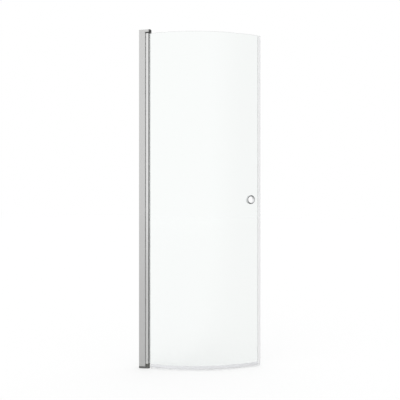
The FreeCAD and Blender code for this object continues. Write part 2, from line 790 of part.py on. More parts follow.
def add_ramps(body, level, above, turn="0"):
    """Cuts the cam's ramps, whose low ends are at level, out of the ring above or below them."""
    ramp = new_sketch(body, "ramp", "XZ_Plane", turn=turn)
    far = f"({level} + {LOBE_RISE} + {OVERCUT})" if above else f"({level} - {LOBE_RISE} - {OVERCUT})"
    low, high = (level, far) if above else (far, level)
    draw_outline(ramp, rectangle(f"-(cam_size / 2 + {OVERCUT})", low, f"-(pin_size / 2 - {OVERCUT})", high))
    cut = body.newObject("PartDesign::SubtractiveHelix", f"{body.Name}_ramp_cut")
    cut.Profile = ramp
    cut.ReferenceAxis = (ramp, ["V_Axis"])
    cut.Mode = "pitch-height-angle"
    cut.LeftHanded = True
    cut.setExpression("Pitch", bound(f"{CAM_LOBES} * {LOBE_RISE}"))
    cut.setExpression("Height", bound(LOBE_RISE))
    doc.recompute()
    lobes = body.newObject("PartDesign::PolarPattern", f"{body.Name}_lobes")
    lobes.Originals = [cut]
    lobes.Axis = (ramp, ["V_Axis"])
    lobes.Angle = 360
    lobes.Occurrences = CAM_LOBES
    body.Tip = lobes


def make_fixed_cam():
    """The lower half of the rising hinge, whose bore is the bottom pin's bush."""
    body = new_body("fixed_cam", ON_AXIS)
    ring = new_sketch(body, "ring", offset="bracket_thick")
    draw_circle(ring, "cam_size / 2")
    draw_circle(ring, PIN_BORE)
    add_pad(body, ring, f"cam_flange + {LOBE_RISE}")
    spigot = new_sketch(body, "spigot", offset="bracket_floor + pin_head_thick + 2 * running_gap")
    draw_outline(spigot, cam_spigot_outline("0", "0"))
    draw_circle(spigot, PIN_BORE)
    add_pad(body, spigot, "bracket_thick - bracket_floor - pin_head_thick - 2 * running_gap")
    add_ramps(body, CAM_VALLEY, True, "-start_angle")
    nodes.append(body)


def make_bottom_pin():
    """Stands in the bracket with its collar under the cam, and turns with the column."""
    body = new_body("bottom_pivot_pin", ON_COLUMN)
    half = new_sketch(body, "half_section", "XZ_Plane")
    foot = "(bracket_floor + running_gap)"
    tip = f"({COLUMN_FOOT} + pin_grip)"
    draw_outline(half, [
        ("0", foot),
        ("pin_head / 2", foot),
        ("pin_head / 2", f"{foot} + pin_head_thick"),
        (PIN_RADIUS, f"{foot} + pin_head_thick"),
        (PIN_RADIUS, f"{tip} - pin_bevel"),
        (f"{PIN_RADIUS} - pin_bevel", tip),
        ("0", tip),
    ])
    add_turn(body, half)
    cut_flats(body, COLUMN_FOOT, f"pin_grip + {OVERCUT}")
    nodes.append(body)


# ---- Column and its inserts, drawn with X along the glass's first edge ----

def bore_outline(play):
    """The column's bore: round, less the block that holds the glass's slot."""
    radius = f"({BORE_RADIUS} - {play})"
    half = f"({BLOCK_HALF} + {play})"
    edge = f"sqrt({radius} * {radius} - {half} * {half})"
    floor = f"({BLOCK_FLOOR} - {play})"
    return [
        (floor, half),
        (edge, half),
        (edge, f"-{half}", "0", "0", "left"),
        (floor, f"-{half}"),
    ]


def make_column():
    body = new_body("hinge_column", ON_COLUMN)
    round_bar = new_sketch(body, "round", offset=COLUMN_FOOT)
    draw_circle(round_bar, COLUMN_RADIUS)
    add_pad(body, round_bar, f"{COLUMN_TOP} - {COLUMN_FOOT}")
    bore = new_sketch(body, "bore", offset=COLUMN_FOOT)
    draw_outline(bore, bore_outline("0"))
    add_pocket(body, bore)
    slot = new_sketch(body, "slot", offset=COLUMN_FOOT)
    draw_outline(slot, rectangle("slot_floor", f"-{SLOT_HALF}", f"{COLUMN_RADIUS} + {OVERCUT}", SLOT_HALF))
    add_pocket(body, slot)
    screw_holes = new_sketch(body, "screw_holes", "XZ_Plane", f"-{COLUMN_RADIUS} - {OVERCUT}")
    for height in column_screw_heights():
        draw_circle(screw_holes, "column_screw_size / 2 + running_gap", "0", height)
    add_pocket(body, screw_holes, f"column_wall + 2 * {OVERCUT}")
    nodes.append(body)


def column_screw_heights():
    return [f"({COLUMN_FOOT} + insert_length / 2)", f"({COLUMN_TOP} - insert_length / 2)"]


def draw_socket(sketch):
    """The keyed socket that slides over a pin's flats."""
    half = "(pin_flats / 2 + running_gap)"
    rise = f"sqrt({PIN_BORE} * {PIN_BORE} - {half} * {half})"
    draw_outline(sketch, [
        (half, rise),
        (f"-{half}", rise, "0", "0", "left"),
        (f"-{half}", f"-{rise}"),
        (half, f"-{rise}", "0", "0", "left"),
    ])


def add_insert_screw_hole(body, height):
    hole = new_sketch(body, "screw_hole", "XZ_Plane", f"-{COLUMN_RADIUS}")
    draw_circle(hole, "column_screw_size / 2 + running_gap", "0", height)
    add_pocket(body, hole, "column_screw_depth + running_gap")


def make_top_insert():
    body = new_body("column_top_insert", ON_COLUMN)
    foot = f"({COLUMN_TOP} - insert_length)"
    plug = new_sketch(body, "plug", offset=foot)
    draw_outline(plug, bore_outline("insert_slack"))
    add_pad(body, plug, "insert_length")
    socket = new_sketch(body, "socket", offset=foot)
    draw_socket(socket)
    add_pocket(body, socket)
    add_insert_screw_hole(body, column_screw_heights()[1])
    nodes.append(body)


def make_cam_follower():
    """The upper half of the rising hinge, pressed into the column's foot."""
    body = new_body("cam_follower", ON_COLUMN)
    ring = new_sketch(body, "ring", offset=f"{CAM_VALLEY} + running_gap")
    draw_circle(ring, "cam_size / 2")
    draw_circle(ring, PIN_BORE)
    add_pad(body, ring, f"{COLUMN_FOOT} - {CAM_VALLEY} - running_gap")
    add_ramps(body, f"({CAM_VALLEY} + running_gap)", False)
    plug = new_sketch(body, "plug", offset=COLUMN_FOOT)
    draw_outline(plug, bore_outline("insert_slack"))
    add_pad(body, plug, "insert_length")
    socket = new_sketch(body, "socket", offset=COLUMN_FOOT)
    draw_socket(socket)
    add_pocket(body, socket)
    add_insert_screw_hole(body, column_screw_heights()[0])
    nodes.append(body)


def make_column_screws():
    members = []
    for height, name in zip(column_screw_heights(), ("foot", "head")):
        body = new_body(f"column_screw_{name}", ON_COLUMN)
        shank = new_sketch(body, "shank", "XZ_Plane", f"-{COLUMN_RADIUS} + end_gap")
        draw_circle(shank, "column_screw_size / 2", "0", height)
        add_pad(body, shank, "column_screw_depth - end_gap")
        socket = new_sketch(body, "socket", "XZ_Plane", f"-{COLUMN_RADIUS}")
        draw_outline(socket, hexagon("(column_screw_key / 2)", height))
        add_pocket(body, socket, "column_screw_key_depth")
        members.append(body)
    nodes.append(make_group("column_screws", members))


def make_gasket():
    """The U-shaped glazing gasket between the glass's edge and the column's slot."""
    body = new_body("glass_gasket", ON_COLUMN)
    outer = f"({SLOT_HALF} - gasket_play)"
    inner = f"({GLASS_HALF} + gasket_slack)"
    mouth = f"({COLUMN_RADIUS} + gasket_lip)"
    section = new_sketch(body, "section", offset=NOTCH_FOOT)
    draw_outline(section, [
        ("slot_floor + end_gap", f"-{outer}"),
        (mouth, f"-{outer}"),
        (mouth, f"-{inner}"),
        ("glass_inset - end_gap", f"-{inner}"),
        ("glass_inset - end_gap", inner),
        (mouth, inner),
        (mouth, outer),
        ("slot_floor + end_gap", outer),
    ])
    add_pad(body, section, f"{NOTCH_HEAD} - {NOTCH_FOOT}")
    nodes.append(body)


# ---- Glass and the pieces that follow its arc ----

def arc_turn(distance):
    """The angle about the arc's centre of a length of glass from the hinge axis."""
    return f"({distance} * {DEGREES_PER_MM})"


def arc_body(label, distance):
    """A body about the arc's centre whose X axis points at this length of glass from the hinge."""
    return new_body(label, place_at(ARC_X, ARC_Y, turn=f"(-90 - start_angle + {arc_turn(distance)})"))


def ring_cut(body, name, distance, foot, height):
    """Cuts the glass's hinge edge away up to a distance from the hinge axis."""
    half = new_sketch(body, name, "XZ_Plane")
    low = f"(glass_radius - {GLASS_HALF} - {OVERCUT})"
    high = f"(glass_radius + {GLASS_HALF} + {OVERCUT})"
    draw_outline(half, rectangle(low, foot, high, f"{foot} + {height}"))
    add_turn(body, half, arc_turn(f"({distance} - glass_inset)"), "Groove")


def make_glass():
    body = arc_body("glass_panel", "glass_inset")
    section = new_sketch(body, "section", "XZ_Plane")
    low = f"(glass_radius - {GLASS_HALF})"
    high = f"(glass_radius + {GLASS_HALF})"
    draw_outline(section, rectangle(low, "glass_bottom", high, GLASS_TOP))
    sweep = f"({SPAN_ANGLE} - {arc_turn('(glass_inset + strip_reach)')})"
    add_turn(body, section, sweep)
    ring_cut(body, "foot_notch", "foot_notch_reach", f"glass_bottom - {OVERCUT}",
             f"{NOTCH_FOOT} - glass_bottom + {OVERCUT}")
    ring_cut(body, "head_notch", "notch_reach", NOTCH_HEAD, f"{GLASS_TOP} - {NOTCH_HEAD} + {OVERCUT}")
    drill = body.newObject("PartDesign::SubtractiveCylinder", "grip_hole")
    turn = f"({GRIP_ANGLE} + start_angle - {arc_turn('glass_inset')})"
    near = f"(glass_radius - {GLASS_HALF} - {OVERCUT})"
    drill.setExpression("Radius", bound("grip_glass_hole / 2"))
    drill.setExpression("Height", bound(f"glass_thick + 2 * {OVERCUT}"))
    spot = f"vector({near} * {cosine(turn)}; {near} * {sine(turn)}; grip_height)"
    drill.setExpression("Placement", bound(f"placement({spot}; rotation({turn} * 1deg; 90deg; 0deg))"))
    nodes.append(body)


def leg_corners():
    """The two legs that hold the glass's foot, from the outer one's heel to the inner one's head."""
    return [
        (f"glass_radius + {CLIP_OUTER}", CLIP_FOOT),
        (f"glass_radius + {CLIP_OUTER}", CLIP_TOP),
        (f"glass_radius + {CLIP_INNER}", CLIP_TOP),
        (f"glass_radius + {CLIP_INNER}", CLIP_FLOOR),
        (f"glass_radius - {CLIP_INNER}", CLIP_FLOOR),
        (f"glass_radius - {CLIP_INNER}", CLIP_TOP),
        (f"glass_radius - {CLIP_OUTER}", CLIP_TOP),
    ]


def make_seal_clip():
    """The clear rail along the glass's foot: two legs on the glass, a groove and a drip rail."""
    body = arc_body("bottom_seal_clip", SEAL_START)
    section = new_sketch(body, "section", "XZ_Plane")
    inner = f"(glass_radius - {CLIP_OUTER})"
    mouth = "(lip_thick / 2 + lip_play)"
    bead = "(lip_bead / 2 + lip_play)"
    groove_top = f"({CLIP_FLOOR} - lip_roof)"
    groove_neck = f"({groove_top} - lip_bead_thick - 2 * lip_play)"
    draw_outline(section, leg_corners() + [
        (inner, f"{CLIP_FOOT} + seal_wall"),
        (f"{inner} - seal_rail_reach", f"{CLIP_FOOT} + seal_wall - seal_rail_drop"),
        (f"{inner} - seal_rail_reach", f"{CLIP_FOOT} - seal_rail_drop"),
        (f"{inner} + seal_wall / 2", CLIP_FOOT),
        (f"glass_radius - {mouth}", CLIP_FOOT),
        (f"glass_radius - {mouth}", groove_neck),
        (f"glass_radius - {bead}", groove_neck),
        (f"glass_radius - {bead}", groove_top),
        (f"glass_radius + {bead}", groove_top),
        (f"glass_radius + {bead}", groove_neck),
        (f"glass_radius + {mouth}", groove_neck),
        (f"glass_radius + {mouth}", CLIP_FOOT),
    ])
    add_turn(body, section, seal_sweep(SEAL_START))
    nodes.append(body)


def seal_sweep(start):
    """From a start near the hinge to just short of the free edge's strip."""
    return f"({SPAN_ANGLE} - {arc_turn(f'({start} + strip_reach + strip_lap + strip_seal_gap)')})"


def make_seal_lip():
    """The soft lip that wipes the tray's rim."""
    body = arc_body("bottom_seal_lip", SEAL_START)
    section = new_sketch(body, "section", "XZ_Plane")
    bead_top = f"({CLIP_FLOOR} - lip_roof - lip_play)"
    bead_foot = f"({bead_top} - lip_bead_thick)"
    bend = f"(({CLIP_FOOT} + seal_drop) / 2)"
    half = "lip_thick / 2"
    draw_outline(section, [
        ("glass_radius - lip_bead / 2", bead_foot),
        (f"glass_radius - {half}", bead_foot),
        (f"glass_radius - {half}", bend),
        (f"glass_radius + {half}", "seal_drop"),
        ("glass_radius + lip_thick", "seal_drop"),
        (f"glass_radius + {half}", bend),
        (f"glass_radius + {half}", bead_foot),
        ("glass_radius + lip_bead / 2", bead_foot),
        ("glass_radius + lip_bead / 2", bead_top),
        ("glass_radius - lip_bead / 2", bead_top),
    ])
    add_turn(body, section, seal_sweep(SEAL_START))
    nodes.append(body)


def make_seal_cap():
    """The stop at the seal's hinge end."""
    body = arc_body("bottom_seal_end_cap", "seal_start")
    section = new_sketch(body, "section", "XZ_Plane")
    draw_outline(section, leg_corners() + [
        (f"glass_radius - {CLIP_OUTER}", CLIP_FOOT),
        ("glass_radius - lip_thick", "seal_drop"),
        ("glass_radius + lip_thick", "seal_drop"),
    ])
    add_turn(body, section, arc_turn("seal_cap_length"))
    nodes.append(body)


# ---- Free edge ----

ON_EDGE = on_glass(GLASS_END_ANGLE)


def magnet_room(play):
    """The chamber for the magnet, or with some play the magnet itself."""
    return rectangle(f"2 * strip_wall + {play}", f"-({STRIP_HALF} - strip_wall - {play})",
                     f"strip_reach - strip_wall - {play}", f"{STRIP_HALF} - strip_wall - {play}")


def make_edge_profile():
    """The clear profile clipped over the glass's free edge."""
    body = new_body("edge_profile", ON_EDGE)
    section = new_sketch(body, "section", offset="strip_bottom")
    clip = f"({STRIP_HALF} - strip_wall)"
    draw_outline(section, [
        ("-strip_lap", f"-{STRIP_HALF}"),
        ("strip_reach", f"-{STRIP_HALF}"),
        ("strip_reach", STRIP_HALF),
        ("-strip_lap", STRIP_HALF),
        ("-strip_lap", clip),
        ("seal_slack", clip),
        ("seal_slack", f"-{clip}"),
        ("-strip_lap", f"-{clip}"),
    ])
    draw_outline(section, magnet_room("0"))
    add_pad(body, section, f"{GLASS_TOP} - strip_bottom")
    nodes.append(body)


def make_magnet():
    body = new_body("magnet_strip", ON_EDGE)
    foot = "(strip_bottom + strip_plug_length + end_gap)"
    section = new_sketch(body, "section", offset=foot)
    draw_outline(section, magnet_room("magnet_slack"))
    add_pad(body, section, f"{GLASS_TOP} - strip_plug_length - end_gap - {foot}")
    nodes.append(body)


def make_edge_plugs():
    """The plugs that close the magnet's chamber at both ends."""
    members = []
    for name, level in (("foot", "strip_bottom"), ("head", f"({GLASS_TOP} - strip_plug_length)")):
        body = new_body(f"edge_plug_{name}", ON_EDGE)
        section = new_sketch(body, "section", offset=level)
        draw_outline(section, magnet_room("magnet_slack"))
        add_pad(body, section, "strip_plug_length")
        members.append(body)
    nodes.append(make_group("edge_profile_plugs", members))


# ---- Grip: a ring on each side of a hole in the glass ----

def make_grip_ring(label, outside):
    tilt = "90" if outside else "-90"
    body = new_body(label, on_glass(GRIP_ANGLE, "grip_height", tilt))
    half = new_sketch(body, "half_section", "XZ_Plane")
    bore = "(grip_hole / 2 + grip_sleeve_wall + running_gap)"
    seat = f"({GLASS_HALF} + grip_pad)"
    face = f"({seat} + grip_thick)"
    rim = "(grip_size / 2)"
    draw_outline(half, [
        (bore, seat),
        (rim, seat),
        (rim, f"{face} - grip_round"),
        (f"{rim} - grip_round", face, f"{rim} - grip_round", f"{face} - grip_round", "left"),
        (bore, face),
    ])
    add_turn(body, half)
    nodes.append(body)


def make_grip_sleeve():
    """The threaded tube that draws the two rings together through the glass."""
    body = new_body("grip_sleeve", on_glass(GRIP_ANGLE, "grip_height", "90"))
    reach = f"({GLASS_HALF} + grip_pad + grip_thick)"
    section = new_sketch(body, "section", offset=f"-{reach}")
    draw_circle(section, "grip_hole / 2 + grip_sleeve_wall")
    draw_circle(section, "grip_hole / 2")
    pad = add_pad(body, section, f"2 * {reach}")
    rim = value("grip_hole / 2")
    round_edges(body, pad, "grip_sleeve_round",
                lambda edge: edge.BoundBox.ZLength < 0.001 and edge.BoundBox.XMax < rim + 0.001)
    nodes.append(body)


def make_grip_pad(label, outside):
    """A soft washer with one face curved to the glass and one flat face to the ring."""
    tilt = "90" if outside else "-90"
    place = on_glass(GRIP_ANGLE, "grip_height", tilt)
    disc = doc.addObject("Part::Cylinder", f"{label}_disc")
    disc.setExpression("Radius", bound("grip_pad_size / 2"))
    disc.setExpression("Height", bound(f"{GLASS_HALF} + grip_pad"))
    disc.setExpression("Placement", bound(place))
    bore = doc.addObject("Part::Cylinder", f"{label}_bore")
    bore.setExpression("Radius", bound("grip_hole / 2 + grip_sleeve_wall + running_gap"))
    bore.setExpression("Height", bound(f"{GLASS_HALF} + 2 * grip_pad"))
    bore.setExpression("Placement", bound(place))
    washer = doc.addObject("Part::Cut", f"{label}_washer")
    washer.Base = disc
    washer.Tool = bore
    bend = doc.addObject("Part::Cylinder", f"{label}_bend")
    reach = GLASS_HALF if outside else f"(-{GLASS_HALF})"
    bend.setExpression("Radius", bound(f"glass_radius + {reach}"))
    bend.setExpression("Height", bound("2 * grip_pad_size"))
    bend.setExpression("Placement", bound(place_at(ARC_X, ARC_Y, "grip_height - grip_pad_size")))
    pad = doc.addObject("Part::Cut" if outside else "Part::Common", f"{label}_pad")
    pad.Base = washer
    pad.Tool = bend
    pad.Label = label
    nodes.append(pad)


make_wall_channel()
make_clamp_sets()
make_adjusting_profile()
make_gap_seal()
make_top_arm()
make_arm_nose()
make_bracket_screws()
make_top_bush()
make_arm_plug()
make_top_pin()
make_bottom_bracket()
make_fixed_cam()
make_bottom_pin()
make_column()
make_top_insert()
make_cam_follower()
make_column_screws()
make_gasket()
make_glass()
make_seal_clip()
make_seal_lip()
make_seal_cap()
make_edge_profile()
make_magnet()
make_edge_plugs()
make_grip_ring("grip_ring_outside", True)
make_grip_ring("grip_ring_inside", False)
make_grip_sleeve()
make_grip_pad("grip_pad_outside", True)
make_grip_pad("grip_pad_inside", False)

doc.recompute()
for item in doc.Objects:
    faults = [state for state in item.State if state in ("Invalid", "Error")]
    if faults:
        raise RuntimeError(f"{item.Label}: {faults}")
for node in nodes:
    if node.Shape.isNull() or not node.Shape.isValid():
        raise RuntimeError(f"{node.Label}: no valid shape")

os.makedirs("parts", exist_ok=True)
for node in nodes:
    node.Shape.exportStep(f"parts/{node.Label}.step")
    print(f"{node.Label}: {len(node.Shape.Solids)} solid(s), {node.Shape.Volume / 1000:.2f} cm3")
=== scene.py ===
"""A curved pivot shower door, dressed for a studio picture. Metres, in the part's own frame: the origin is
on the wall at tray level, X points away from the wall, -Y is the dry side and Z is up."""
import math

import bmesh
import bpy
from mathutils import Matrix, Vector


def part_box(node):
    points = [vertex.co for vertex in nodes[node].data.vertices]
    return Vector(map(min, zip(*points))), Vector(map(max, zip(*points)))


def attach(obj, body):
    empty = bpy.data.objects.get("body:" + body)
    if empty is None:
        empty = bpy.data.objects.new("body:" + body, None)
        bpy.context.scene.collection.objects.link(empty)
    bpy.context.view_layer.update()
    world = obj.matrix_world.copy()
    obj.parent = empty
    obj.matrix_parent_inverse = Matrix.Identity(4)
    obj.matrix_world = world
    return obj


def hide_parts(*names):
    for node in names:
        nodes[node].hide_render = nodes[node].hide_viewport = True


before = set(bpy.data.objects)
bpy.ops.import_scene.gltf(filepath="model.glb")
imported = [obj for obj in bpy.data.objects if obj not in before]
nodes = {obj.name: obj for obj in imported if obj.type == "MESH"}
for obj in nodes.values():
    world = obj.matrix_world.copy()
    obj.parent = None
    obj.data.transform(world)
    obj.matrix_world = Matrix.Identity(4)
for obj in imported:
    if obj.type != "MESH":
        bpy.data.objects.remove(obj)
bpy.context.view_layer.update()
scene = bpy.context.scene

# ---- Camera: level, on the dry side, turned a little towards the wall ----

HINGE_X = 0.049
CAMERA_DISTANCE = 3.5
CAMERA_TURN = math.radians(13.96)
CAMERA_RIGHT_OF_HINGE = 0.3096
CAMERA_HEIGHT = 0.9938
CAMERA_REACH = 100
FOCAL_PIXELS = 591.0
PICTURE_PIXELS = 400
SENSOR = 36.0
LEVEL = math.radians(90)
TO_THE_RIGHT = Vector((math.cos(CAMERA_TURN), math.sin(CAMERA_TURN), 0))


def make_camera():
    ahead = Vector((-math.sin(CAMERA_TURN), math.cos(CAMERA_TURN), 0))
    data = bpy.data.cameras.new("camera")
    data.sensor_width = SENSOR
    data.lens = FOCAL_PIXELS / PICTURE_PIXELS * SENSOR
    data.clip_end = CAMERA_REACH
    camera = bpy.data.objects.new("camera", data)
    hinge = Vector((HINGE_X, 0, CAMERA_HEIGHT))
    camera.location = hinge - ahead * CAMERA_DISTANCE + TO_THE_RIGHT * CAMERA_RIGHT_OF_HINGE
    camera.rotation_euler = (LEVEL, 0, CAMERA_TURN)
    scene.collection.objects.link(camera)
    scene.camera = camera


make_camera()
scene.view_settings.view_transform = "Standard"

# ---- Shader helpers ----


class Shader:
    """Adds nodes to one tree with short calls."""

    def __init__(self, owner):
        owner.use_nodes = True
        self.tree = owner.node_tree
        self.tree.nodes.clear()

    def add(self, kind, values=None, **settings):
        node = self.tree.nodes.new(kind)
        for name, setting in settings.items():
            setattr(node, name, setting)
        for name, value in (values or {}).items():
            self.set(node.inputs[name], value)
        return node

    def set(self, socket, value):
        if isinstance(value, bpy.types.NodeSocket):
            self.tree.links.new(value, socket)
        else:
            socket.default_value = value

    def math(self, operation, first, second):
        return self.add("ShaderNodeMath", {0: first, 1: second}, operation=operation).outputs[0]

    def vector(self, operation, *values):
        return self.add("ShaderNodeVectorMath", dict(enumerate(values)), operation=operation)

    def stretch(self, value, low, high, to_low, to_high):
        """A value's range carried smoothly onto another range."""
        node = self.add("ShaderNodeMapRange", interpolation_type="SMOOTHSTEP")
        for socket, item in zip(node.inputs, (value, low, high, to_low, to_high)):
            self.set(socket, item)
        return node.outputs[0]

    def ramp(self, value, colours):
        """A colour that goes evenly through the given ones."""
        node = self.add("ShaderNodeValToRGB", {0: value})
        stops = node.color_ramp.elements
        for number, colour in enumerate(colours):
            stops[number].position = number / (len(colours) - 1)
            stops[number].color = (*colour, 1)
        return node.outputs[0]

    def noise(self, scale, stretch=(1, 1, 1), detail=3.0, roughness=0.5):
        """Noise in the part's own space, drawn out along an axis where stretch is small there."""
        place = self.add("ShaderNodeTexCoord").outputs["Object"]
        scaled = self.vector("MULTIPLY", place, stretch).outputs[0]
        values = {"Vector": scaled, "Scale": scale, "Detail": detail, "Roughness": roughness}
        return self.add("ShaderNodeTexNoise", values).outputs[0]

    def bump(self, height, strength, distance):
        values = {"Strength": strength, "Distance": distance, "Height": height}
        return self.add("ShaderNodeBump", values).outputs[0]

    def finish(self, surface, volume=None):
        output = self.add("ShaderNodeOutputMaterial")
        self.set(output.inputs["Surface"], surface)
        if volume is not None:
            self.set(output.inputs["Volume"], volume)


# ---- Materials: noise scales are cells per metre, bump distances are metres ----

# The middle part of a noise's values, in which a finish changes from its least to its most.
NOISE_RANGE = (0.3, 0.7)
MIXED_RANGE = (0.25, 0.75)
UP_THE_POSTS = (1, 1, 0.01)
ROUND_THE_RAIL = (0.02, 0.02, 1)


def around(colour, spread):
    """Two colours, a little under and a little over one."""
    return [tuple(c * (1 - spread) for c in colour), tuple(min(1, c * (1 + spread)) for c in colour)]


def new_material(name):
    material = bpy.data.materials.new(name)
    return material, Shader(material)


def drawn_metal(name, colour, rough, grain, depth):
    """Extruded aluminium: fine lines along Z left by the die, under a satin anodised skin."""
    material, shader = new_material(name)
    lines = shader.noise(grain, stretch=(1, 1, 0.004), detail=4, roughness=0.65)
    clouds = shader.noise(scale=9, stretch=(1, 1, 0.4), detail=2)
    line_share = 0.6
    mixed = shader.math("ADD", shader.math("MULTIPLY", lines, line_share),
                        shader.math("MULTIPLY", clouds, 1 - line_share))
    surface = shader.add("ShaderNodeBsdfPrincipled", {
        "Base Color": shader.ramp(mixed, around(colour, spread=0.06)),
        "Metallic": 1.0,
        "Roughness": shader.stretch(mixed, *MIXED_RANGE, rough * 0.85, rough * 1.15),
        "Normal": shader.bump(lines, strength=0.35, distance=depth),
    })
    shader.finish(surface.outputs[0])
    return material


def turned_metal(name, colour, rough, grain, depth):
    """Polished or turned metal with faint handling marks."""
    material, shader = new_material(name)
    marks = shader.noise(grain, detail=5, roughness=0.6)
    surface = shader.add("ShaderNodeBsdfPrincipled", {
        "Base Color": shader.ramp(marks, around(colour, spread=0.04)),
        "Metallic": 1.0,
        "Roughness": shader.stretch(marks, *NOISE_RANGE, rough * 0.8, rough * 1.3),
        "Normal": shader.bump(marks, strength=0.2, distance=depth),
    })
    shader.finish(surface.outputs[0])
    return material


def moulded(name, colour, rough):
    """Moulded plastic or rubber with a fine spark-eroded texture."""
    material, shader = new_material(name)
    texture = shader.noise(scale=1400, detail=4, roughness=0.6)
    clouds = shader.noise(scale=40, detail=2)
    surface = shader.add("ShaderNodeBsdfPrincipled", {
        "Base Color": shader.ramp(clouds, around(colour, spread=0.08)),
        "Roughness": shader.stretch(texture, *NOISE_RANGE, rough * 0.9, rough * 1.1),
        "Normal": shader.bump(texture, strength=0.3, distance=0.00004),
    })
    shader.finish(surface.outputs[0])
    return material


def lets_lamps_through(shader, surface, share):
    """Mixes in a clear shader for rays from lamps and for diffuse light, by share."""
    path = shader.add("ShaderNodeLightPath")
    soft = shader.math("MAXIMUM", path.outputs["Is Shadow Ray"], path.outputs["Is Diffuse Ray"])
    clear = shader.add("ShaderNodeBsdfTransparent", {"Color": (share, share, share, 1)})
    return shader.add("ShaderNodeMixShader", {0: soft, 1: surface, 2: clear.outputs[0]}).outputs[0]


def clear_glass(name, share):
    """Toughened float glass: clear across its thickness, green along its edges, faintly wavy."""
    material, shader = new_material(name)
    wave = shader.noise(scale=5, stretch=(1, 1, 0.35), detail=1)
    surface = shader.add("ShaderNodeBsdfPrincipled", {
        "Base Color": (0.962, 0.975, 0.968, 1),
        "Roughness": 0.0,
        "IOR": 1.52,
        "Transmission Weight": 1.0,
        "Normal": shader.bump(wave, strength=0.02, distance=0.002),
    })
    tint = shader.add("ShaderNodeVolumeAbsorption", {"Color": (0.55, 0.88, 0.76, 1), "Density": 3.0})
    shader.finish(lets_lamps_through(shader, surface.outputs[0], share), tint.outputs[0])
    return material


def clear_plastic(name, colour, rough, milk, share, along):
    """Extruded clear plastic, milky by milk's share, with lines along the extrusion."""
    material, shader = new_material(name)
    lines = shader.noise(scale=700, stretch=along, detail=3, roughness=0.6)
    surface = shader.add("ShaderNodeBsdfPrincipled", {
        "Base Color": shader.ramp(lines, around(colour, spread=0.02)),
        "Roughness": shader.stretch(lines, *NOISE_RANGE, rough * 0.85, rough * 1.15),
        "IOR": 1.5,
        "Transmission Weight": 1.0 - milk,
        "Normal": shader.bump(lines, strength=0.1, distance=0.00001),
    })
    shader.finish(lets_lamps_through(shader, surface.outputs[0], share))
    return material


MATERIALS = {
    "satin": drawn_metal("satin_aluminium", (0.64, 0.64, 0.635), rough=0.36, grain=900, depth=0.00003),
    "bright": drawn_metal("bright_aluminium", (0.78, 0.78, 0.775), rough=0.2, grain=700, depth=0.00001),
    "glass": clear_glass("toughened_glass", share=0.93),
    "clear": clear_plastic("clear_plastic", (0.88, 0.881, 0.885),
                           rough=0.2, milk=0.82, share=0.95, along=UP_THE_POSTS),
    "clear_rail": clear_plastic("clear_rail_plastic", (0.84, 0.843, 0.858),
                                rough=0.2, milk=0.7, share=0.9, along=ROUND_THE_RAIL),
    "soft_rail": clear_plastic("soft_rail_plastic", (0.92, 0.925, 0.925),
                               rough=0.3, milk=0.45, share=0.85, along=ROUND_THE_RAIL),
    "gasket": clear_plastic("gasket_plastic", (0.8, 0.805, 0.805),
                            rough=0.3, milk=0.45, share=0.75, along=UP_THE_POSTS),
    "grey": moulded("grey_plastic", (0.12, 0.12, 0.118), rough=0.42),
    # The arm's nose is dark grey plastic, made darker than the grey plastic so that its round end shows a
    # painted dark reflection.
    "nose": moulded("dark_grey_plastic_painted_reflection", (0.07, 0.07, 0.069), rough=0.42),
    # The bushes, cams and column insert are dark acetal. Their darkness also stands in for the shade in the
    # gaps above and below the column, which is painted shade.
    "acetal": moulded("acetal", (0.11, 0.11, 0.1), rough=0.32),
    "rubber": moulded("grey_rubber", (0.55, 0.55, 0.55), rough=0.7),
    "magnet": moulded("magnet_rubber", (0.93, 0.93, 0.93), rough=0.6),
    "steel": turned_metal("stainless_steel", (0.62, 0.61, 0.6), rough=0.28, grain=900, depth=0.00001),
    "chrome": turned_metal("chrome", (0.82, 0.83, 0.84), rough=0.06, grain=300, depth=0.000004),
}

# ---- Finish of each CAD node ----

FINISH = {
    "wall_channel": "satin", "adjusting_profile": "satin", "top_arm": "satin", "hinge_column": "bright",
    "glass_panel": "glass", "bottom_seal_clip": "clear_rail", "edge_profile": "clear",
    "bottom_seal_lip": "soft_rail", "bottom_seal_end_cap": "soft_rail", "edge_profile_plugs": "soft_rail",
    "glass_gasket": "gasket",
    # The nose's darker plastic is a painted dark reflection. The acetal pieces' darkness is partly painted
    # shade in the gaps at the column's head and foot.
    "bottom_bracket": "grey", "top_arm_nose": "nose", "top_arm_plug": "grey", "clamp_screw_caps": "grey",
    "fixed_cam": "acetal", "cam_follower": "acetal", "column_top_insert": "acetal",
    "top_pivot_bush": "acetal",
    "hinge_gap_seal": "rubber", "grip_pad_outside": "rubber", "grip_pad_inside": "rubber",
    "magnet_strip": "magnet",
    "clamp_nuts": "steel", "clamp_screws": "steel", "top_arm_screws": "steel",
    "bottom_bracket_screws": "steel", "column_screws": "steel", "top_pivot_pin": "steel",
    "bottom_pivot_pin": "steel",
    "grip_ring_outside": "chrome", "grip_ring_inside": "chrome", "grip_sleeve": "chrome",
}

# Widths of the small rounds on edges that would be sharp.
EDGE_ROUNDS = {
    "adjusting_profile": 0.0005, "wall_channel": 0.0003, "hinge_column": 0.0003, "glass_panel": 0.0004,
    "bottom_bracket": 0.0008, "top_arm": 0.0003, "edge_profile": 0.0003, "bottom_seal_clip": 0.0003,
    "fixed_cam": 0.0003, "cam_follower": 0.0003, "clamp_screw_caps": 0.0006,
}
ROUND_SEGMENTS = 2
SHARP_ANGLE = math.radians(30)
WELD_DISTANCE = 0.000002


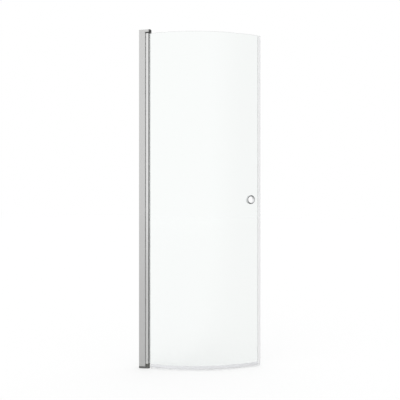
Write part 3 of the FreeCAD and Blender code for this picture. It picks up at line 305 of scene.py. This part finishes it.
def dress_node(name, node):
    """Gives a piece the finish of the CAD node called name, smooth curved faces and small edge rounds."""
    node.data.materials.clear()
    node.data.materials.append(MATERIALS[FINISH[name]])
    weld = node.modifiers.new("weld", "WELD")
    weld.merge_threshold = WELD_DISTANCE
    width = EDGE_ROUNDS.get(name)
    if width:
        bevel = node.modifiers.new("edge_rounds", "BEVEL")
        bevel.width = width
        bevel.segments = ROUND_SEGMENTS
        bevel.limit_method = "ANGLE"
        bevel.angle_limit = SHARP_ANGLE
    node.data.shade_smooth()
    node.data.set_sharp_from_angle(angle=SHARP_ANGLE)
    flat = node.modifiers.new("large_faces_lead", "WEIGHTED_NORMAL")
    flat.keep_sharp = True


for name, node in nodes.items():
    dress_node(name, node)

# ---- Own pieces ----


def solid_between(faces, near, far):
    """A closed bmesh between two copies of a flat patch. Its faces are lists of places, each turned the same
    way, and near and far say where a place goes on the two sides."""
    shape = bmesh.new()
    corners = list(dict.fromkeys(place for face in faces for place in face))
    front = {place: shape.verts.new(near(place)) for place in corners}
    back = {place: shape.verts.new(far(place)) for place in corners}
    edges = [edge for face in faces for edge in zip(face, face[1:] + face[:1])]
    shared = set(edges)
    for face in faces:
        shape.faces.new([front[place] for place in face])
        shape.faces.new([back[place] for place in reversed(face)])
    for first, second in edges:
        if (second, first) not in shared:
            shape.faces.new((front[second], front[first], back[first], back[second]))
    return shape


def make_piece(name, shape, dressed_as):
    """Makes a piece of a finished bmesh, with the finish of one of the CAD nodes."""
    bmesh.ops.recalc_face_normals(shape, faces=shape.faces[:])
    mesh = bpy.data.meshes.new(name)
    shape.to_mesh(mesh)
    shape.free()
    piece = bpy.data.objects.new(name, mesh)
    scene.collection.objects.link(piece)
    dress_node(dressed_as, piece)
    return piece


# ---- Glass: the CAD panel's shape, with an even mesh that bends light smoothly ----

GLASS_RADIUS = 0.76
GLASS_HALF = 0.003
START_ANGLE = math.radians(7.75)
END_ANGLE = math.radians(44.8)
ARC_LENGTH = (START_ANGLE + END_ANGLE) * GLASS_RADIUS
GLASS_START = 0.008
GLASS_END = ARC_LENGTH - 0.007
GLASS_FOOT = 0.012
GLASS_HEAD = 1.979
# Each notch at the hinge goes this far along the arc, and up or down to this height.
FOOT_NOTCH = (0.02, 0.029)
HEAD_NOTCH = (0.026, 1.9765)
GRIP_PLACE = ARC_LENGTH - 0.069
GRIP_HEIGHT = 0.996
GRIP_HOLE = 0.023
# The collar is a square of finer mesh round the hole.
COLLAR_HALF = 0.029
COLLAR_STEPS = 12
COLLAR_CORNER = 45
NEAR_COLLAR = COLLAR_HALF * 1.01
COLUMN_STEP = 0.006
ROW_STEP = 0.12


def on_arc(along, inwards, height):
    """The place of a point on the bent glass: its length from the hinge axis, and its depth and height."""
    angle = along / GLASS_RADIUS - START_ANGLE
    reach = GLASS_RADIUS - inwards
    centre_x = HINGE_X + GLASS_RADIUS * math.sin(START_ANGLE)
    centre_y = GLASS_RADIUS * math.cos(START_ANGLE)
    return Vector((centre_x + reach * math.sin(angle), centre_y - reach * math.cos(angle), height))


def even_steps(low, high, step):
    """Places from low to high, both included, about a step apart."""
    count = max(1, round((high - low) / step))
    return [low + (high - low) * number / count for number in range(count + 1)]


def collar_steps(middle):
    """Places across the collar, at even angles about its middle."""
    turns = [math.radians(2 * COLLAR_CORNER * number / COLLAR_STEPS - COLLAR_CORNER)
             for number in range(COLLAR_STEPS + 1)]
    return [middle + COLLAR_HALF * math.tan(turn) for turn in turns]


def glass_lines():
    """The columns and rows of the flat panel, both with the collar's own lines in them."""
    columns = [GLASS_START, *even_steps(FOOT_NOTCH[0], HEAD_NOTCH[0], COLUMN_STEP)]
    columns += even_steps(HEAD_NOTCH[0], GRIP_PLACE - COLLAR_HALF, COLUMN_STEP)[1:-1]
    columns += collar_steps(GRIP_PLACE)
    columns += even_steps(GRIP_PLACE + COLLAR_HALF, GLASS_END, COLUMN_STEP)[1:]
    rows = [GLASS_FOOT, *even_steps(FOOT_NOTCH[1], GRIP_HEIGHT - COLLAR_HALF, ROW_STEP)[:-1]]
    rows += collar_steps(GRIP_HEIGHT)
    rows += [*even_steps(GRIP_HEIGHT + COLLAR_HALF, HEAD_NOTCH[1], ROW_STEP)[1:], GLASS_HEAD]
    return columns, rows


def from_grip(along, height):
    """How far a place is from the grip's middle, measured along the arc or up, whichever is more."""
    return max(abs(along - GRIP_PLACE), abs(height - GRIP_HEIGHT))


def cut_away(along, height):
    """Whether the glass is missing here: at the hinge's two notches, and in the collar round the hole."""
    in_collar = from_grip(along, height) < COLLAR_HALF
    at_foot = along < FOOT_NOTCH[0] and height < FOOT_NOTCH[1]
    at_head = along < HEAD_NOTCH[0] and height > HEAD_NOTCH[1]
    return in_collar or at_foot or at_head


def turn_about_grip(place):
    along, height = place
    return math.atan2(height - GRIP_HEIGHT, along - GRIP_PLACE)


def hole_edge(turn):
    return GRIP_PLACE + GRIP_HOLE * math.cos(turn), GRIP_HEIGHT + GRIP_HOLE * math.sin(turn)


def collar_faces(rim):
    """The faces between the collar's rim and the round hole inside it."""
    rim = sorted(rim, key=turn_about_grip)
    hole = [hole_edge(turn_about_grip(place)) for place in rim]
    return [[rim[number - 1], rim[number], hole[number], hole[number - 1]] for number in range(len(rim))]


def flat_glass():
    """The faces of the panel laid flat. A place is its length along the arc and its height."""
    columns, rows = glass_lines()
    faces = []
    for left, right in zip(columns, columns[1:]):
        for low, high in zip(rows, rows[1:]):
            if not cut_away((left + right) / 2, (low + high) / 2):
                faces.append([(left, low), (right, low), (right, high), (left, high)])
    corners = dict.fromkeys(place for face in faces for place in face)
    return faces + collar_faces([place for place in corners if from_grip(*place) < NEAR_COLLAR])


def make_glass_pane():
    glass = solid_between(flat_glass(),
                          near=lambda place: on_arc(place[0], -GLASS_HALF, place[1]),
                          far=lambda place: on_arc(place[0], GLASS_HALF, place[1]))
    pane = make_piece("glass_pane", glass, dressed_as="glass_panel")
    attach(pane, "door")
    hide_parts("glass_panel")


make_glass_pane()

# ---- Soft lips that close the slots between the profile's tips and the column ----

# Radii about the hinge axis, and turns about it from X.
LIP_RADII = (0.01515, 0.01695)
TIP_TURN = math.radians(130.3)
LIP_TURN = math.radians(12)
LIP_STEPS = 8


def lip_outline(side):
    """A strip behind the profile's tip with a round nose, as places in plan. Side is 1 or -1 along Y."""
    inner, outer = LIP_RADII
    middle = (inner + outer) / 2
    nose = (outer - inner) / 2
    turns = [TIP_TURN + LIP_TURN * number / LIP_STEPS for number in range(LIP_STEPS + 1)]
    places = [(outer, turn) for turn in reversed(turns)]
    for number in range(1, LIP_STEPS):
        phase = math.pi * number / LIP_STEPS
        places.append((middle + nose * math.cos(phase), TIP_TURN - nose / middle * math.sin(phase)))
    places += [(inner, turn) for turn in turns]
    return [(HINGE_X + radius * math.cos(turn), side * radius * math.sin(turn)) for radius, turn in places]


def make_gap_lips():
    low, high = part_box("adjusting_profile")
    lips = solid_between([lip_outline(side) for side in (-1, 1)],
                         near=lambda place: (*place, low.z),
                         far=lambda place: (*place, high.z))
    piece = make_piece("gap_lips", lips, dressed_as="hinge_gap_seal")
    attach(piece, "frame")


make_gap_lips()

# ---- Stage ----

FLOOR_LEVEL = -0.001
FLOOR_SIZE = 60.0
# The floor's paint as lamps and the object meet it, and as it is seen. As it is mirrored near and far, the
# paint is darkened: painted shade.
FLOOR_PAINT = 0.66
FLOOR_SEEN = 0.42
FLOOR_SHADE_MIRRORED = 0.56
FLOOR_SHADE_MIRRORED_FAR = 0.78
FLOOR_NEAR_AND_FAR = (2.0, 25.0)
# Makes up for FLOOR_SEEN, so that the lit floor is as white as the studio.
FLOOR_GLOW = 0.451
# What is left of the studio, as mirrored, on the camera's right, and of the floor's mirrored paint there,
# which is painted shade.
STUDIO_RIGHT = 0.2
FLOOR_RIGHT_SHADE = 0.12
RIGHT_BEGINS_AND_ENDS = (0.2, 0.8)
WHITE = (1, 1, 1, 1)


def seen_and_mirrored(shader):
    """Two switches: 1 for the camera's rays and those through glass, and 1 for rays off a surface."""
    path = shader.add("ShaderNodeLightPath")
    seen = shader.math("MAXIMUM", path.outputs["Is Camera Ray"], path.outputs["Is Transmission Ray"])
    return seen, shader.math("GREATER_THAN", path.outputs["Is Glossy Ray"], seen)


def darker_to_the_right(shader, heading, least):
    """1, falling to least where a unit vector points to the camera's right."""
    side = shader.vector("DOT_PRODUCT", heading, TO_THE_RIGHT).outputs["Value"]
    return shader.stretch(side, *RIGHT_BEGINS_AND_ENDS, 1.0, least)


def floor_material():
    """Pale paint that ends up as white as the ground behind it, but keeps the object's soft shadow. As metal
    and glass mirror it, the paint is darker near the door and on the camera's right: painted shade.
    """
    material, shader = new_material("floor")
    seen, mirrored = seen_and_mirrored(shader)
    place = shader.add("ShaderNodeTexCoord").outputs["Object"]
    from_hinge = shader.vector("SUBTRACT", place, (HINGE_X, 0, FLOOR_LEVEL)).outputs[0]
    heading = shader.vector("NORMALIZE", from_hinge).outputs[0]
    away = shader.vector("LENGTH", from_hinge).outputs["Value"]
    # Painted shade: the floor as mirrored is darker near the door, and darker still on the camera's right.
    bright = shader.stretch(away, *FLOOR_NEAR_AND_FAR, FLOOR_SHADE_MIRRORED, FLOOR_SHADE_MIRRORED_FAR)
    painted_shade_level = shader.math("MULTIPLY", darker_to_the_right(shader, heading, FLOOR_RIGHT_SHADE), bright)
    mirrored_loss = shader.math("MULTIPLY", mirrored, shader.math("SUBTRACT", FLOOR_PAINT, painted_shade_level))
    seen_loss = shader.math("MULTIPLY", seen, FLOOR_PAINT - FLOOR_SEEN)
    lost = shader.math("ADD", mirrored_loss, seen_loss)
    paint = shader.add("ShaderNodeBsdfDiffuse", {"Color": shader.math("SUBTRACT", FLOOR_PAINT, lost)})
    glow = shader.add("ShaderNodeEmission", {"Strength": shader.math("MULTIPLY", seen, FLOOR_GLOW)})
    both = shader.add("ShaderNodeAddShader", {0: paint.outputs[0], 1: glow.outputs[0]})
    shader.finish(both.outputs[0])
    return material


def make_floor():
    mesh = bpy.data.meshes.new("floor")
    half = FLOOR_SIZE / 2
    corners = [(-half, -half), (half, -half), (half, half), (-half, half)]
    mesh.from_pydata([(x, y, FLOOR_LEVEL) for x, y in corners], [], [(0, 1, 2, 3)])
    mesh.materials.append(floor_material())
    floor = bpy.data.objects.new("floor", mesh)
    scene.collection.objects.link(floor)


def make_world():
    """White all round, but darker on the right where metal and glass mirror it."""
    world = bpy.data.worlds.new("studio")
    scene.world = world
    shader = Shader(world)
    heading = shader.add("ShaderNodeTexCoord").outputs["Generated"]
    _, mirrored = seen_and_mirrored(shader)
    lost = shader.math("SUBTRACT", 1.0, darker_to_the_right(shader, heading, STUDIO_RIGHT))
    strength = shader.math("SUBTRACT", 1.0, shader.math("MULTIPLY", mirrored, lost))
    background = shader.add("ShaderNodeBackground", {"Color": WHITE, "Strength": strength})
    shader.add("ShaderNodeOutputWorld", {"Surface": background.outputs[0]})


def make_sun(name, place, spread, strength):
    """A far, broad lamp that lights the whole floor evenly and shows in no reflection."""
    data = bpy.data.lights.new(name, "SUN")
    data.angle = math.radians(spread)
    data.energy = strength
    lamp = bpy.data.objects.new(name, data)
    lamp.location = place
    lamp.rotation_euler = Vector(place).to_track_quat("Z", "Y").to_euler()
    lamp.visible_glossy = False
    scene.collection.objects.link(lamp)


make_floor()
make_world()
make_sun("key", place=(-1.6, -3.2, 3.6), spread=50, strength=0.7)
make_sun("top", place=(0.6, 0.8, 4.2), spread=70, strength=0.5)
